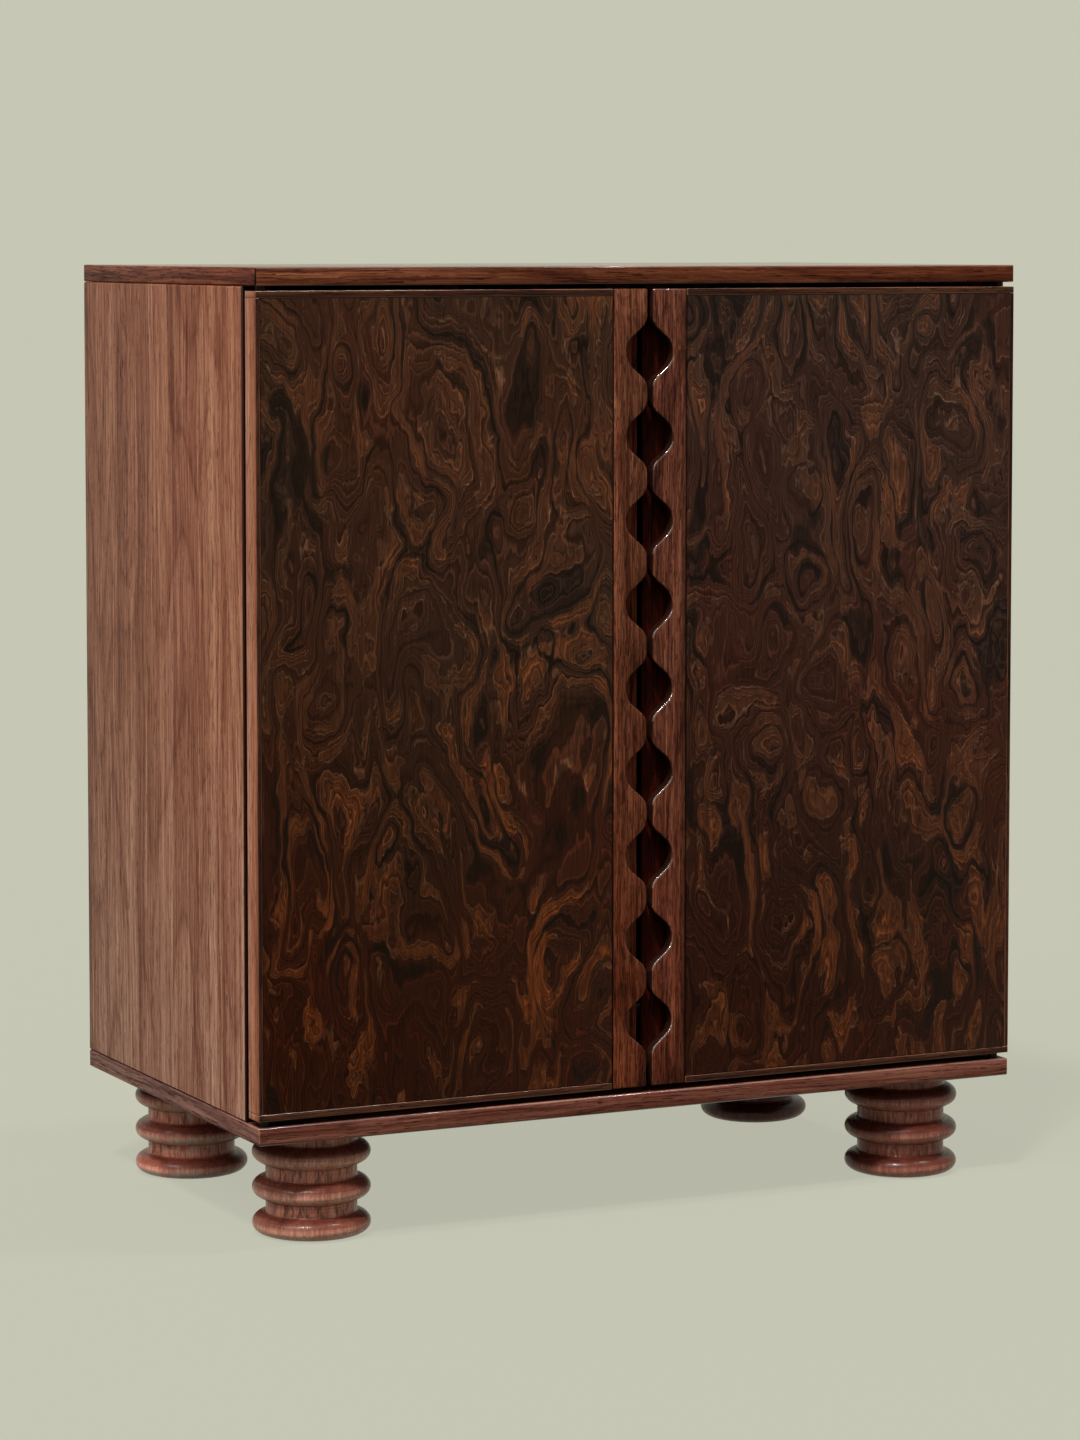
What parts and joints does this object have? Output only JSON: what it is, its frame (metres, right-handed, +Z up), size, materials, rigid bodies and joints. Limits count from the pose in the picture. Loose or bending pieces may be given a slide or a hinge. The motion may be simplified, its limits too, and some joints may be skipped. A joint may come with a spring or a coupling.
{
  "type": "bar cabinet",
  "caption": "Bar cabinet on turned bead feet: burl doors between the top and bottom panels, with scalloped finger pulls down their meeting edges and racks inside.",
  "frame": {"origin": "on the floor, under the middle of the case", "axes": "+Z up, -Y out of the front of the doors, +X to the right when facing the doors"},
  "size_m": [0.9144, 0.508, 1.0287],
  "materials": {
    "walnut_case": "straight-grained walnut veneer, satin lacquer",
    "walnut_stile": "solid walnut, satin lacquer",
    "walnut_foot": "turned solid walnut, satin lacquer",
    "walnut_inside": "walnut veneer, matt lacquer",
    "burl": "dark burl veneer, satin lacquer",
    "core_board": "veneered board, matt lacquer",
    "brass": "satin brass",
    "steel": "plated steel",
    "felt": "pressed felt",
    "catch_case": "moulded, matt"
  },
  "bodies": {
    "case": {"top_panel": "walnut_case", "bottom_panel": "walnut_case", "left_side_panel": "walnut_case", "right_side_panel": "walnut_case", "back_panel": "walnut_inside", "fixed_shelf": "walnut_inside", "lower_divider": "walnut_inside", "adjustable_shelf": "walnut_inside", "shelf_pin_front_left": "steel", "shelf_pin_front_right": "steel", "shelf_pin_back_left": "steel", "shelf_pin_back_right": "steel", "stemware_rail_1": "walnut_inside", "stemware_rail_2": "walnut_inside", "stemware_rail_3": "walnut_inside", "stemware_rail_4": "walnut_inside", "stemware_rail_5": "walnut_inside", "bottle_rail_front_1": "walnut_inside", "bottle_rail_back_1": "walnut_inside", "bottle_rail_front_2": "walnut_inside", "bottle_rail_back_2": "walnut_inside", "foot_front_left": "walnut_foot", "foot_front_right": "walnut_foot", "foot_back_left": "walnut_foot", "foot_back_right": "walnut_foot", "foot_glide_front_left": "felt", "foot_glide_front_right": "felt", "foot_glide_back_left": "felt", "foot_glide_back_right": "felt", "foot_bolt_front_left": "steel", "foot_bolt_front_right": "steel", "foot_bolt_back_left": "steel", "foot_bolt_back_right": "steel", "left_door_upper_case_leaf": "brass", "left_door_lower_case_leaf": "brass", "right_door_upper_case_leaf": "brass", "right_door_lower_case_leaf": "brass", "left_door_magnetic_catch": "catch_case", "right_door_magnetic_catch": "catch_case"},
    "left_door": {"left_door_pull_stile": "walnut_stile", "left_door_bottom_band": "walnut_stile", "left_door_top_band": "walnut_stile", "left_door_outer_band": "walnut_stile", "left_door_burl_panel": "burl", "left_door_core": "core_board", "left_door_upper_leaf": "brass", "left_door_lower_leaf": "brass", "left_door_strike_plate": "steel"},
    "right_door": {"right_door_pull_stile": "walnut_stile", "right_door_bottom_band": "walnut_stile", "right_door_top_band": "walnut_stile", "right_door_outer_band": "walnut_stile", "right_door_burl_panel": "burl", "right_door_core": "core_board", "right_door_upper_leaf": "brass", "right_door_lower_leaf": "brass", "right_door_strike_plate": "steel"}
  },
  "joints": [
    {"name": "left_door_swing", "type": "hinge", "parent": "case", "child": "left_door", "pos_m": [-0.4452, -0.24, 0.5724], "axis": [0, 0, -1], "range_deg": [0, 110]},
    {"name": "right_door_swing", "type": "hinge", "parent": "case", "child": "right_door", "pos_m": [0.4452, -0.24, 0.5724], "axis": [0, 0, 1], "range_deg": [0, 110]}
  ]
}
